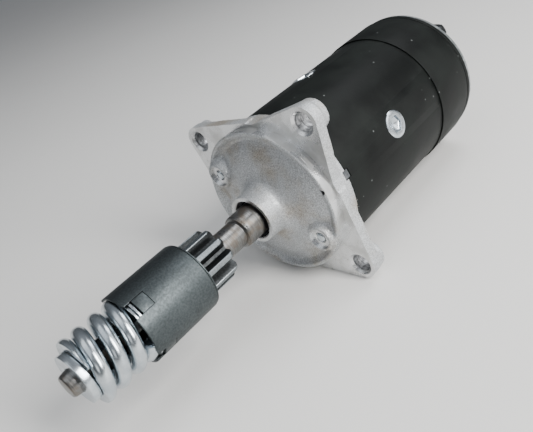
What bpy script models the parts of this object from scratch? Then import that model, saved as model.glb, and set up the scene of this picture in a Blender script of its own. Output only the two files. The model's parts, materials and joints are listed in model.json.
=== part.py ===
"""Inertia-drive starter motor, built as separate parts round one shaft axis.

Run with: blender --background --python part.py

Every part is drawn in the same local frame: X is the station along the shaft, zero at the
front face of the mounting flange and positive towards the commutator end. Angles are turned
about the shaft from +Y towards +Z. The frame is then placed in the world by one empty.
Lengths in the tables below are millimetres.
"""
import math

import bmesh
import bpy
from mathutils import Matrix, Vector

MM = 0.001

# Driving dimensions
YOKE_R = 53.2              # outside radius of the yoke, the size everything is scaled to
YOKE_WALL = 4.7
YOKE_FRONT = 13.6
YOKE_REAR = 170.9
EAR_R = 1.302 * YOKE_R     # radius of the bolt-hole circle
EAR_TIP_R = 0.2 * YOKE_R
EAR_ANGLES = (32.95, 125.95, 218.75)
EAR_WEB_R = (1.03 * YOKE_R, 0.95 * YOKE_R, 1.03 * YOKE_R)
EAR_HOLE_R = 6.4
EAR_CHAMFER_R = 8.0
WEB_THICK = 8.0
BODY_R = 53.8
BODY_REAR = 13.3
SPIGOT_R = 52.35
SPIGOT_FRONT = -6.2
NOSE_FRONT = -26.7
NOSE_BORE_R = 13.6
BAND_FRONT = 128.8
BAND_REAR = 166.5
BAND_R = 54.1
REAR_FACE = 179.5
POLE_ANGLES = (71.85, 161.85, 251.85, 341.85)
POLE_SCREW_STATION = 74.3
THROUGH_BOLT_R = 41.6
THROUGH_BOLT_ANGLES = (26.45, 206.45)
TERMINAL_R = 37.2
TERMINAL_ANGLE = 125.85
SHAFT_JOURNAL_R = 11.1
SHAFT_DRIVE_R = 9.0
SHAFT_FRONT = -172.6
PINION_TEETH = 10
PINION_TIP_R = 17.6
PINION_REAR = -60.1
BARREL_REAR = -83.0
BARREL_FRONT = -130.6
BARREL_R = 22.44
BARREL_BORE_R = 20.2
BARREL_MOUTH_R = 20.95
LUG_ANGLES = (126.55, 216.55, 306.55, 36.55)
LUG_WIDTH = 9.3
LUG_REAR = -117.5
LUG_FRONT = -125.4
SPRING_WIRE_R = 4.25
SPRING_MEAN_R = 16.3
SPRING_LEAN = (2.0, 1.4)  # how far the coils lean along the shaft, at +Y and at +Z
SPRING_REAR = -129.3
SPRING_FRONT = -162.5
COLLAR_FRONT = -167.4
COLLAR_R = 15.2
PIN_STATION = -165.1
PIN_ANGLE = 323.85
CORE_R = 34.0
POLE_BORE_R = 34.7
COMMUTATOR_R = 19.0
BRUSH_MID = 146.0
GAP = 0.3                  # clearance kept between parts that touch
SMOOTH_ANGLE = 32.0        # edges sharper than this stay hard
BAND_GAP_ANGLE = 325.0     # where the cover band's two lugs meet
BAND_SCREW_STATION = 147.0
BAND_SCREW_R = 58.6
BOSS_TOP_R = 8.4           # raised boss round each through bolt's end
BOSS_FOOT_R = 10.4
SPOT_FACE_R = 7.4
SPOT_FACE_STATION = -9.6
DOWEL_ANGLE = 163.3
VENT_ANGLE = 162.0
KEY_ANGLE = 106.85         # first of the shaft's four grooves
CORE_SLOTS = 21
COMMUTATOR_BARS = 20
BRUSH_PIVOT = (33.0, 14.0)  # radius and tangent of a brush spring's pin

# World place of the shaft axis at station zero: the lowest ear's web rests on the floor
# and the whole object is centred over the origin.
AXIS_ORIGIN = Vector((-13.95, -2.05, 1.03 * YOKE_R)) * MM

COLOURS = {
    "cast_aluminium": ((0.62, 0.62, 0.60), 1.0, 0.45),
    "black_paint": ((0.012, 0.013, 0.013), 0.0, 0.35),
    "dark_steel": ((0.16, 0.17, 0.18), 1.0, 0.35),
    "bright_steel": ((0.55, 0.55, 0.54), 1.0, 0.25),
    "zinc_steel": ((0.66, 0.68, 0.70), 1.0, 0.22),
    "bronze": ((0.45, 0.30, 0.14), 1.0, 0.4),
    "copper": ((0.72, 0.32, 0.16), 1.0, 0.35),
    "carbon": ((0.05, 0.05, 0.05), 0.1, 0.6),
    "insulation": ((0.10, 0.05, 0.03), 0.0, 0.6),
    "coil_tape": ((0.45, 0.36, 0.22), 0.0, 0.85),
}


# ---------------------------------------------------------------- scene and helpers

def clear_scene():
    for ob in list(bpy.data.objects):
        bpy.data.objects.remove(ob, do_unlink=True)


def make_materials():
    made = {}
    for name, (rgb, metallic, roughness) in COLOURS.items():
        mat = bpy.data.materials.new(name)
        mat.use_nodes = True
        shader = mat.node_tree.nodes["Principled BSDF"]
        shader.inputs["Base Color"].default_value = (*rgb, 1.0)
        shader.inputs["Metallic"].default_value = metallic
        shader.inputs["Roughness"].default_value = roughness
        mat.diffuse_color = (*rgb, 1.0)
        made[name] = mat
    return made


def polar(radius, angle, station=0.0):
    """A point in millimetres at a radius and an angle in degrees about the shaft."""
    a = math.radians(angle)
    return Vector((station, radius * math.cos(a), radius * math.sin(a)))


def temp_object(name, data):
    ob = bpy.data.objects.new(name, data)
    bpy.context.scene.collection.objects.link(ob)
    return ob


def evaluated_mesh(ob):
    """The object's mesh with its modifiers applied, with outward normals."""
    bpy.context.view_layer.update()
    graph = bpy.context.evaluated_depsgraph_get()
    mesh = bpy.data.meshes.new_from_object(ob.evaluated_get(graph))
    bm = bmesh.new()
    bm.from_mesh(mesh)
    bmesh.ops.remove_doubles(bm, verts=bm.verts, dist=1e-7)
    bmesh.ops.recalc_face_normals(bm, faces=bm.faces)
    bm.to_mesh(mesh)
    bm.free()
    bpy.data.objects.remove(ob, do_unlink=True)
    return mesh


def mesh_object(name, bm):
    mesh = bpy.data.meshes.new(name)
    bm.to_mesh(mesh)
    bm.free()
    return temp_object(name, mesh)


def turned(name, outline, steps=48):
    """Revolve a (station, radius) outline about the shaft. It is closed unless it ends on it."""
    bm = bmesh.new()
    verts = [bm.verts.new((radius * MM, 0.0, station * MM)) for station, radius in outline]
    on_axis = outline[0][1] == 0 and outline[-1][1] == 0
    ends = verts[1:] if on_axis else verts[1:] + verts[:1]
    for a, b in zip(verts, ends):
        bm.edges.new((a, b))
    ob = mesh_object(name, bm)
    screw = ob.modifiers.new("turn", "SCREW")
    screw.axis = "Z"
    screw.steps = steps
    screw.render_steps = steps
    screw.use_merge_vertices = True
    screw.merge_threshold = 0.00002
    mesh = evaluated_mesh(ob)
    mesh.transform(Matrix.Rotation(math.pi / 2, 4, "Y"))
    return temp_object(name, mesh)


def prism(name, loops, station0, station1):
    """Extrude closed (y, z) loops between two stations. Inner loops are holes."""
    curve = bpy.data.curves.new(name, "CURVE")
    curve.dimensions = "2D"
    curve.fill_mode = "BOTH"
    curve.extrude = abs(station1 - station0) / 2 * MM
    for loop in loops:
        spline = curve.splines.new("POLY")
        spline.points.add(len(loop) - 1)
        for point, (y, z) in zip(spline.points, loop):
            point.co = (y * MM, z * MM, 0.0, 1.0)
        spline.use_cyclic_u = True
    mesh = evaluated_mesh(temp_object(name, curve))
    swap = Matrix(((0, 0, 1, 0), (1, 0, 0, 0), (0, 1, 0, 0), (0, 0, 0, 1)))
    mesh.transform(Matrix.Translation(((station0 + station1) / 2 * MM, 0, 0)) @ swap)
    return temp_object(name, mesh)


def cylinder(name, radius, start, end, segments=24, end_radius=None):
    """A round bar, or a cone, between two points in millimetres."""
    start = Vector(start)
    end = Vector(end)
    bm = bmesh.new()
    tip = radius if end_radius is None else end_radius
    bmesh.ops.create_cone(bm, cap_ends=True, segments=segments, radius1=radius * MM,
                          radius2=tip * MM, depth=(end - start).length * MM)
    turn = (end - start).to_track_quat("Z", "Y").to_matrix().to_4x4()
    bmesh.ops.transform(bm, matrix=Matrix.Translation((start + end) / 2 * MM) @ turn, verts=bm.verts)
    return mesh_object(name, bm)


def axial(name, radius, station0, station1, at=(0.0, 0.0), segments=24, end_radius=None):
    """A bar parallel to the shaft, at a radius and an angle from it."""
    return cylinder(name, radius, polar(at[0], at[1], station0), polar(at[0], at[1], station1),
                    segments, end_radius)


def block(name, stations, radii, widths, angle):
    """A box with its height along a radius and its width along the tangent at that angle."""
    bm = bmesh.new()
    bmesh.ops.create_cube(bm, size=1.0)
    size = Vector((stations[1] - stations[0], radii[1] - radii[0], widths[1] - widths[0]))
    middle = Vector((stations[1] + stations[0], radii[1] + radii[0], widths[1] + widths[0])) / 2
    for vert in bm.verts:
        vert.co = Vector(c * s + m for c, s, m in zip(vert.co, size, middle)) * MM
    bmesh.ops.rotate(bm, cent=(0, 0, 0), matrix=Matrix.Rotation(math.radians(angle), 3, "X"),
                     verts=bm.verts)
    bmesh.ops.recalc_face_normals(bm, faces=bm.faces)
    return mesh_object(name, bm)


def combine(base, tools, operation):
    """Boolean the tool objects with the base one at a time, and return the result."""
    for tool in tools:
        name = base.name
        mod = base.modifiers.new(operation, "BOOLEAN")
        mod.solver = "EXACT"
        mod.operation = operation
        mod.object = tool
        base = temp_object(name, evaluated_mesh(base))
        bpy.data.objects.remove(tool, do_unlink=True)
    return base


def cut(base, tools):
    return combine(base, tools, "DIFFERENCE")


def join(base, tools):
    return combine(base, tools, "UNION")


def arc(radius, angle0, angle1, count):
    """Points of an arc about the shaft as (y, z) pairs."""
    step = (angle1 - angle0) / count
    return [tuple(polar(radius, angle0 + step * i))[1:] for i in range(count + 1)]


def place(loop, angle):
    """Turn a (y, z) loop about the shaft."""
    c, s = math.cos(math.radians(angle)), math.sin(math.radians(angle))
    return [(y * c - z * s, y * s + z * c) for y, z in loop]


def keep(ob, name, material, body, pivot=None):
    """Name a finished part, colour it and hang it on its body's empty."""
    ob.name = name
    ob.data.name = name
    ob.data.materials.clear()
    ob.data.materials.append(MATERIALS[material])
    ob.data.shade_smooth()
    ob.data.set_sharp_from_angle(angle=math.radians(SMOOTH_ANGLE))
    if pivot is not None:
        ob.data.transform(Matrix.Translation(-Vector(pivot) * MM))
        ob.location = Vector(pivot) * MM
    bpy.context.scene.collection.objects.unlink(ob)
    PART_COLLECTION.objects.link(ob)
    ob.parent = BODIES[body]
    return ob


# ---------------------------------------------------------------- fixed structure

def ear_outline(web_r):
    """The face of one ear, pointing along +Y: two straight webs into a round tip."""
    lean = math.degrees(math.acos((web_r - EAR_TIP_R) / EAR_R))
    root = arc(46.5, lean - 4, 4 - lean, 10)
    tip = [(y + EAR_R, z) for y, z in arc(EAR_TIP_R, -lean, lean, 10)]
    low = tuple(polar(web_r, -lean))[1:]
    high = tuple(polar(web_r, lean))[1:]
    return root + [low] + tip + [high]


def make_drive_end_bracket():
    shell = turned("shell", [
        (NOSE_FRONT, NOSE_BORE_R), (NOSE_FRONT, 16.6), (-15.4, 17.4), (-12.6, 19.0), (-11.0, 22.0),
        (-9.4, 31.0), (-7.0, 40.0), (-5.6, 43.4), (-5.4, 45.2), (-6.2, 47.8), (-7.2, 49.6),
        (-7.5, 50.6), (-7.1, 51.6), (SPIGOT_FRONT, SPIGOT_R), (0.0, SPIGOT_R), (0.0, BODY_R), (BODY_REAR, BODY_R),
        (BODY_REAR, 48.2), (18.8, 48.2), (18.8, 45.4), (1.0, 45.4), (-2.4, 42.0), (-6.4, 22.0),
        (-6.4, 17.0), (1.0, 17.0), (1.0, NOSE_BORE_R)], 48)
    ears = []
    for angle, web_r in zip(EAR_ANGLES, EAR_WEB_R):
        ears.append(prism("ear", [place(ear_outline(web_r), angle)], 0.0, WEB_THICK))
        ears.append(axial("boss", EAR_TIP_R - 0.05, 0.05, BODY_REAR, (EAR_R, angle), 20, 10.0))
    bosses = []
    for angle in THROUGH_BOLT_ANGLES:
        seat = (THROUGH_BOLT_R, angle)
        bosses.append(axial("boss", 6.6, -8.0, 4.0, seat, 16))
        bosses.append(axial("boss", BOSS_TOP_R, SPOT_FACE_STATION - 0.5, -5.9, seat, 24, BOSS_FOOT_R))
    shell = join(shell, ears + bosses)
    cutters = []
    for angle in EAR_ANGLES:
        cutters.append(axial("hole", EAR_HOLE_R, -5, 20, (EAR_R, angle), 32))
        mouth = EAR_CHAMFER_R + 1.0
        cutters.append(axial("mouth", mouth, -1.0, mouth - EAR_HOLE_R - 1.0, (EAR_R, angle), 32,
                             EAR_HOLE_R))
    for angle in THROUGH_BOLT_ANGLES:
        cutters.append(axial("spot face", SPOT_FACE_R, -20, SPOT_FACE_STATION, (THROUGH_BOLT_R, angle), 20))
        cutters.append(axial("tapping", 3.5, -20, 10, (THROUGH_BOLT_R, angle), 16))
    cutters.append(cylinder("vent", 1.8, polar(53.3, VENT_ANGLE, -16.0), polar(43.9, VENT_ANGLE, 11.0), 16))
    cutters.append(block("key seat", (11.0, 16.0), (50.0, 58.0), (-3.0, 3.0), DOWEL_ANGLE))
    keep(cut(shell, cutters), "drive_end_bracket", "cast_aluminium", "motor")


def make_bushes():
    front = turned("bush", [(-18.0, 11.15), (-18.0, 13.55), (0.8, 13.55), (0.8, 11.15)], 40)
    keep(front, "drive_end_bush", "bronze", "motor")
    rear = turned("bush", [(166.0, 6.45), (166.0, 8.6), (190.0, 8.6), (190.0, 6.45)], 32)
    keep(rear, "commutator_end_bush", "bronze", "motor")


def make_yoke():
    inner = YOKE_R - YOKE_WALL
    tube = turned("tube", [(YOKE_FRONT, inner), (YOKE_FRONT, YOKE_R - 0.4),
                           (YOKE_FRONT + 0.4, YOKE_R), (YOKE_REAR, YOKE_R), (YOKE_REAR, inner)], 56)
    cutters = [block("notch", (12.0, 16.6), (46.0, 58.0), (-3.0, 3.0), DOWEL_ANGLE)]
    for angle in POLE_ANGLES:
        cutters.append(cylinder("screw hole", 5.4, polar(44, angle, POLE_SCREW_STATION),
                                polar(58, angle, POLE_SCREW_STATION), 20))
        cutters.append(cylinder("countersink", 6.0, polar(49.4, angle, POLE_SCREW_STATION),
                                polar(54.0, angle, POLE_SCREW_STATION), 32, 10.6))
        cutters.append(block("window", (134.0, 159.0), (40.0, 60.0), (-14.0, 14.0), angle))
    keep(cut(tube, cutters), "yoke", "black_paint", "motor")
    dowel = block("dowel", (11.3, 16.0), (50.3, 52.9), (-2.6, 2.6), DOWEL_ANGLE)
    keep(dowel, "locating_dowel", "dark_steel", "motor")


def make_field_system():
    inner = YOKE_R - YOKE_WALL
    for number, angle in enumerate(POLE_ANGLES, 1):
        face = arc(POLE_BORE_R, -31, 31, 12)
        horn = [tuple(polar(39.6, 31))[1:], (37.0, 14.0)]
        back = arc(inner - GAP, 16.5, -16.5, 6)
        outline = face + horn + back + [(y, -z) for y, z in reversed(horn)]
        shoe = prism("shoe", [place(outline, angle)], 40.0, 106.0)
        seat = cylinder("seat", 5.4, polar(40.9, angle, POLE_SCREW_STATION),
                        polar(52, angle, POLE_SCREW_STATION), 20)
        keep(cut(shoe, [seat]), "pole_shoe_%d" % number, "dark_steel", "motor")

        head = cylinder("head", 9.4, polar(YOKE_R - 0.25, angle, POLE_SCREW_STATION),
                        polar(49.75, angle, POLE_SCREW_STATION), 32, 5.8)
        shank = cylinder("shank", 5.0, polar(50.5, angle, POLE_SCREW_STATION),
                         polar(41.3, angle, POLE_SCREW_STATION), 20)
        slot = cylinder("socket", 5.2, polar(50.9, angle, POLE_SCREW_STATION),
                        polar(56, angle, POLE_SCREW_STATION), 6)
        keep(cut(join(head, [shank]), [slot]), "pole_screw_%d" % number, "zinc_steel", "motor")

        ring = arc(40.2, -36, 36, 12) + arc(inner - GAP, 36, -36, 12)
        coil = prism("coil", [place(ring, angle)], 31.0, 115.0)
        window = block("window", (39.5, 106.5), (30, 60), (-14.5, 14.5), angle)
        keep(cut(coil, [window]), "field_coil_%d" % number, "coil_tape", "motor")


def make_cover_band():
    angle = BAND_GAP_ANGLE
    band = turned("band", [(BAND_FRONT, YOKE_R + 0.1), (BAND_FRONT, BAND_R),
                           (BAND_REAR, BAND_R), (BAND_REAR, YOKE_R + 0.1)], 56)
    lugs = block("lugs", (141, 153), (53.6, 62.5), (-3.4, 3.4), angle)
    split = block("split", (120, 175), (45, 70), (-1.6, 1.6), angle)
    band = cut(join(band, [lugs]), [split])
    across = Matrix.Rotation(math.radians(angle), 3, "X")

    def point(width):
        return across @ Vector((BAND_SCREW_STATION, BAND_SCREW_R, width))

    hole = cylinder("hole", 2.2, point(-8), point(8), 16)
    keep(cut(band, [hole]), "cover_band", "black_paint", "motor")
    screw = join(cylinder("screw", 1.9, point(-4), point(9.5), 16),
                 [cylinder("head", 3.6, point(-3.7), point(-6.0), 20)])
    keep(screw, "band_screw", "zinc_steel", "motor")
    nut = block("nut", (143.6, 150.4), (55.2, 62.0), (3.8, 6.6), angle)
    keep(cut(nut, [cylinder("hole", 2.2, point(3), point(8), 16)]), "band_nut", "zinc_steel", "motor")


def make_commutator_end_bracket():
    plate = turned("plate", [
        (165.6, 8.9), (165.6, 13.5), (172.4, 14.5), (172.4, 45.4), (165.6, 45.4), (165.6, 48.2),
        (YOKE_REAR + GAP, 48.2), (YOKE_REAR + GAP, YOKE_R), (175.6, YOKE_R), (178.2, 52.5),
        (REAR_FACE, YOKE_R - 2.3), (REAR_FACE, 13.0), (192.0, 13.0), (192.0, 8.9)], 48)
    cutters = [axial("bolt hole", 3.6, 160, 185, (THROUGH_BOLT_R, a), 20) for a in THROUGH_BOLT_ANGLES]
    cutters.append(axial("terminal hole", 7.3, 160, 185, (TERMINAL_R, TERMINAL_ANGLE), 24))
    keep(cut(plate, cutters), "commutator_end_bracket", "black_paint", "motor")
    cap = turned("cap", [(192.4, 0), (192.4, 13.3), (183.0, 13.3), (183.0, 14.6), (192.6, 14.6),
                         (193.6, 13.6), (193.6, 0)], 32)
    keep(cap, "end_cap", "zinc_steel", "motor")
    for number, angle in enumerate(THROUGH_BOLT_ANGLES, 1):
        bolt = axial("bolt", 3.15, -10.1, 181.0, (THROUGH_BOLT_R, angle), 16)
        head = axial("head", 6.2, REAR_FACE + GAP, 184.6, (THROUGH_BOLT_R, angle), 6)
        keep(join(bolt, [head]), "through_bolt_%d" % number, "zinc_steel", "motor")


def make_terminal():
    seat = (TERMINAL_R, TERMINAL_ANGLE)
    spin = Matrix.Rotation(math.radians(TERMINAL_ANGLE), 4, "X")

    def stacked(name, outline, steps, material):
        piece = turned(name, outline, steps)
        piece.data.transform(spin @ Matrix.Translation((0, TERMINAL_R * MM, 0)))
        keep(piece, name, material, "motor")

    stud = axial("stud", 4.0, 160.0, 200.5, seat, 20)
    head = block("head", (160.0, 165.2), (TERMINAL_R - 6, TERMINAL_R + 6), (-6, 6), TERMINAL_ANGLE)
    keep(join(stud, [head]), "terminal_stud", "copper", "motor")
    stacked("terminal_insulator", [(165.5, 4.3), (165.5, 7.0), (REAR_FACE + GAP, 7.0),
                                   (REAR_FACE + GAP, 10.5), (184.0, 10.5), (184.0, 4.3)], 28, "insulation")
    stacked("terminal_washer", [(184.3, 4.3), (184.3, 8.8), (185.7, 8.8), (185.7, 4.3)], 28, "zinc_steel")
    for name, station0, station1, material in (("terminal_nut", 188.6, 193.4, "zinc_steel"),
                                               ("terminal_lock_nut", 193.7, 197.6, "dark_steel")):
        hexagon = [(TERMINAL_R + 6.93 * math.cos(a), 6.93 * math.sin(a))
                   for a in (math.radians(30 + 60 * i) for i in range(6))]
        bore = [(TERMINAL_R + 4.3 * math.cos(a), 4.3 * math.sin(a))
                for a in (math.radians(18 * i) for i in range(20))]
        nut = prism(name, [place(hexagon, TERMINAL_ANGLE), place(bore, TERMINAL_ANGLE)],
                    station0, station1)
        keep(nut, name, material, "motor")


def make_brush_gear():
    rear = BRUSH_MID + 10.0
    pin_r, pin_side = BRUSH_PIVOT
    for number, angle in enumerate(POLE_ANGLES, 1):
        box = block("box", (BRUSH_MID - 10, rear), (22.0, 31.0), (-7.0, 7.0), angle)
        foot = block("foot", (rear - 1, 170.0), (24.0, 27.5), (-6.0, 6.0), angle)
        pad = block("pad", (169.4, 172.1), (20.0, 33.0), (-6.6, 6.6), angle)
        lug = block("lug", (rear + 1.2, rear + 4.2), (24.7, 36.0), (3.0, 17.0), angle)
        turn = Matrix.Rotation(math.radians(angle), 3, "X")
        pin = cylinder("pin", 2.0, turn @ Vector((rear + 3, pin_r, pin_side)),
                       turn @ Vector((BRUSH_MID - 7, pin_r, pin_side)), 16)
        well = block("well", (BRUSH_MID - 8.2, BRUSH_MID + 8.2), (15, 40), (-5.2, 5.2), angle)
        holder = cut(join(box, [foot, pad, lug, pin]), [well])
        keep(holder, "brush_holder_%d" % number, "dark_steel", "motor")

        brush = block("brush", (BRUSH_MID - 8.0, BRUSH_MID + 8.0), (COMMUTATOR_R + GAP, 34.0),
                      (-5.0, 5.0), angle)
        keep(brush, "brush_%d" % number, "carbon", "brush_%d" % number)

        arm = [(36.6, 12.4), (37.6, 5.0), (36.6, -0.6), (34.4, -1.4), (34.4, 0.6), (35.9, 2.0),
               (36.4, 5.0), (34.6, 10.6)]
        hole = [(pin_r + 2.3 * math.cos(a), pin_side + 2.3 * math.sin(a))
                for a in (math.radians(22.5 * i) for i in range(16))]
        coil = [(pin_r + 4.4 * math.cos(a), pin_side + 4.4 * math.sin(a))
                for a in (math.radians(22.5 * i) for i in range(16))]
        ring = prism("spring", [place(coil, angle), place(hole, angle)], BRUSH_MID - 5, BRUSH_MID + 5)
        finger = prism("finger", [place(arm, angle)], BRUSH_MID - 4, BRUSH_MID + 4)
        pivot = turn @ Vector((BRUSH_MID, pin_r, pin_side))
        keep(join(ring, [finger]), "brush_spring_%d" % number, "bright_steel",
             "brush_spring_%d" % number, pivot)


# ---------------------------------------------------------------- armature

def make_armature():
    shaft = turned("shaft", [
        (SHAFT_FRONT, 0), (SHAFT_FRONT, 6.1), (-171.8, 6.8), (-168.6, 7.3), (SPRING_FRONT, 7.3),
        (SPRING_FRONT, SHAFT_DRIVE_R), (-41.3, SHAFT_DRIVE_R), (-38.9, SHAFT_JOURNAL_R), (6.0, SHAFT_JOURNAL_R),
        (7.0, 12.5), (20.0, 12.5), (20.5, 10.0), (159.0, 10.0), (160.5, 6.35), (190.0, 6.35),
        (190.8, 5.6), (190.8, 0)], 32)
    grooves = [block("groove", (-162.0, -84.0), (7.3, 12.0), (-4.0, 4.0), KEY_ANGLE + 90 * i)
               for i in range(4)]
    keep(cut(shaft, grooves + [collar_pin_hole()]), "armature_shaft", "bright_steel", "armature")

    outline = []
    pitch = 360.0 / CORE_SLOTS
    for i in range(CORE_SLOTS):
        a = pitch * i
        outline += arc(CORE_R, a - 4.6, a + 4.6, 2)
        outline += [tuple(polar(27.0, a + 4.0))[1:], tuple(polar(27.0, a + pitch - 4.0))[1:]]
    bore = arc(10.3, 360, 18, 19)
    keep(prism("core", [outline, bore], 41.0, 105.0), "armature_core", "dark_steel", "armature")

    drums = [turned("drum", [(x0, 13.2), (x0 + 2, 31.0), (x1 - 2, 33.0), (x1, 31.0), (x1, 13.2)], 28)
             for x0, x1 in ((24.0, 40.6), (105.4, 119.0))]
    bars = [block("bar", (38.0, 108.0), (27.4, 32.8), (-1.8, 1.8), pitch * (i + 0.5))
            for i in range(CORE_SLOTS)]
    winding = join(drums[0], [drums[1]] + bars)
    keep(winding, "armature_winding", "copper", "armature")

    outline = []
    for i in range(COMMUTATOR_BARS):
        a = 360.0 / COMMUTATOR_BARS * i
        outline += arc(COMMUTATOR_R, a - 8.0, a + 8.0, 1)
        outline += [tuple(polar(COMMUTATOR_R - 0.8, a + 8.0))[1:],
                    tuple(polar(COMMUTATOR_R - 0.8, a + 10.0))[1:]]
    barrel = prism("segments", [outline, arc(10.3, 360, 18, 19)], 124.0, 158.4)
    riser = turned("riser", [(120.0, 10.3), (120.0, 22.5), (125.0, 22.5), (125.0, 10.3)], 32)
    keep(join(barrel, [riser]), "commutator", "copper", "armature")

    washer = turned("washer", [(160.8, 6.6), (160.8, 12.0), (162.6, 12.0), (162.6, 6.6)], 32)
    keep(washer, "thrust_washer", "bronze", "armature")


# ---------------------------------------------------------------- inertia drive

def collar_pin_hole():
    return cylinder("pin hole", 1.7, polar(2.8, PIN_ANGLE, PIN_STATION),
                    polar(20.0, PIN_ANGLE, PIN_STATION), 16)


def helix(name, mean_r, wire_r, stations, pitches, points_per_turn, start_angle, sides=2,
          lean=(0.0, 0.0)):
    """A coil whose closed end turns use one pitch and whose working turns use another."""
    closed, working = pitches
    length = stations[1] - stations[0]
    turns = 2.0 + (abs(length) - 2 * closed) / working
    count = int(round(turns * points_per_turn))
    curve = bpy.data.curves.new(name, "CURVE")
    curve.dimensions = "3D"
    curve.bevel_depth = wire_r * MM
    curve.bevel_resolution = sides
    curve.use_fill_caps = True
    spline = curve.splines.new("POLY")
    spline.points.add(count)
    sign = 1 if length > 0 else -1
    for i, point in enumerate(spline.points):
        turn = turns * i / count
        head = min(turn, 1.0)
        tail = max(turn - (turns - 1.0), 0.0)
        middle = turn - head - tail
        station = stations[0] + sign * (closed * (head + tail) + working * middle)
        angle = start_angle - sign * 360.0 * turn
        station += lean[0] * math.cos(math.radians(angle)) + lean[1] * math.sin(math.radians(angle))
        at = polar(mean_r, angle, station) * MM
        point.co = (*at, 1.0)
    return temp_object(name, evaluated_mesh(temp_object(name, curve)))


def make_sleeve():
    sleeve = turned("sleeve", [(-89.0, 9.4), (-89.0, 17.5), (-91.6, 17.5), (-91.6, 13.0),
                               (-127.3, 13.0), (-127.3, 9.4)], 32)
    keys = [block("key", (-127.3, -89.4), (7.7, 10.0), (-3.6, 3.6), KEY_ANGLE + 90 * i) for i in range(4)]
    keep(join(sleeve, keys), "screwed_sleeve", "dark_steel", "sleeve")
    washer = turned("washer", [(-127.6, 9.4), (-127.6, 19.6), (-129.0, 19.6), (-129.0, 9.4)], 36)
    keep(washer, "buffer_washer", "bright_steel", "sleeve")


def make_pinion():
    root_r = PINION_TIP_R - 5.2
    pitch = 360.0 / PINION_TEETH
    phase = 167.35
    outline = []
    for i in range(PINION_TEETH):
        a = phase + pitch * i
        for radius, offset in ((root_r, -13.0), (14.6, -9.4), (16.4, -7.0), (PINION_TIP_R, -4.6),
                               (PINION_TIP_R, 4.6), (16.4, 7.0), (14.6, 9.4), (root_r, 13.0)):
            outline.append(tuple(polar(radius, a + offset))[1:])
    gear = prism("gear", [outline], BARREL_REAR + GAP, PINION_REAR)
    relief = turned("relief", [(PINION_REAR + 0.5, PINION_TIP_R - 1.5), (PINION_REAR + 0.5, 25.0),
                               (PINION_REAR - 2.5, 25.0), (PINION_REAR - 1.5, PINION_TIP_R)], 30)
    hub = axial("hub", 12.2, -88.3, BARREL_REAR + 1.0, (0, 0), 28)
    lip = axial("lip", 15.4, -88.3, -86.6, (0, 0), 28)
    bore = axial("bore", SHAFT_DRIVE_R + 0.3, -95.0, -50.0, (0, 0), 28)
    keep(cut(join(gear, [hub, lip]), [relief, bore]), "pinion", "dark_steel", "pinion")


def make_barrel():
    shell = turned("shell", [
        (BARREL_REAR, 12.6), (BARREL_REAR, BARREL_R - 2.0), (BARREL_REAR - 0.6, BARREL_R - 0.6),
        (BARREL_REAR - 2.0, BARREL_R), (BARREL_FRONT + 0.5, BARREL_R), (BARREL_FRONT, BARREL_R - 0.5),
        (BARREL_FRONT, BARREL_MOUTH_R), (-127.6, BARREL_MOUTH_R), (-127.6, 21.3), (-125.6, 21.3),
        (-125.6, BARREL_BORE_R), (-86.2, BARREL_BORE_R), (-86.2, 12.6)], 36)
    half = LUG_WIDTH / 2 + GAP
    slots = [block("slot", (BARREL_FRONT - 2, LUG_REAR + GAP), (17.0, 25.0), (-half, half), a)
             for a in LUG_ANGLES]
    keep(cut(shell, slots), "barrel", "dark_steel", "pinion")


def make_control_nut():
    nut = turned("nut", [(LUG_REAR, 13.3), (LUG_REAR, 19.7), (-125.2, 19.7), (-125.2, 13.3)], 32)
    half = LUG_WIDTH / 2
    lugs = [block("lug", (LUG_FRONT + 0.2, LUG_REAR), (18.5, BARREL_R - 0.2), (-half, half), a)
            for a in LUG_ANGLES]
    keep(join(nut, lugs), "control_nut", "dark_steel", "pinion")
    ring = turned("ring", [(-125.9, 17.8), (-125.9, 20.9), (-127.3, 20.9), (-127.3, 17.8)], 32)
    gap = block("gap", (-130, -120), (10, 25), (-3.0, 3.0), 0.0)
    keep(cut(ring, [gap]), "retaining_ring", "bright_steel", "carriage")


def make_springs():
    light = helix("light", 15.2, 0.6, (-116.7, -92.4), (1.4, 7.2), 12, 0.0, 1)
    keep(light, "restraining_spring", "zinc_steel", "sleeve")

    overrun = 2.0
    heavy = helix("heavy", SPRING_MEAN_R, SPRING_WIRE_R,
                  (SPRING_REAR + overrun, SPRING_FRONT - overrun), (8.6, 10.7), 16, 190.65, 2, SPRING_LEAN)
    trims = [axial("trim", 30, SPRING_REAR, SPRING_REAR + 20, (0, 0), 16),
             axial("trim", 30, SPRING_FRONT - 20, SPRING_FRONT, (0, 0), 16)]
    keep(cut(heavy, trims), "main_spring", "zinc_steel", "armature")

    collar = turned("collar", [
        (SPRING_FRONT - GAP, 7.6), (SPRING_FRONT - GAP, COLLAR_R - 0.5), (SPRING_FRONT - 0.8, COLLAR_R),
        (COLLAR_FRONT + 0.5, COLLAR_R), (COLLAR_FRONT, COLLAR_R - 0.5), (COLLAR_FRONT, 7.6)], 32)
    keep(cut(collar, [collar_pin_hole()]), "shaft_collar", "zinc_steel", "armature")
    pin = cylinder("pin", 1.4, polar(3.2, PIN_ANGLE, PIN_STATION), polar(14.9, PIN_ANGLE, PIN_STATION), 16)
    keep(pin, "collar_pin", "bright_steel", "armature")


# ---------------------------------------------------------------- assembly

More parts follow.
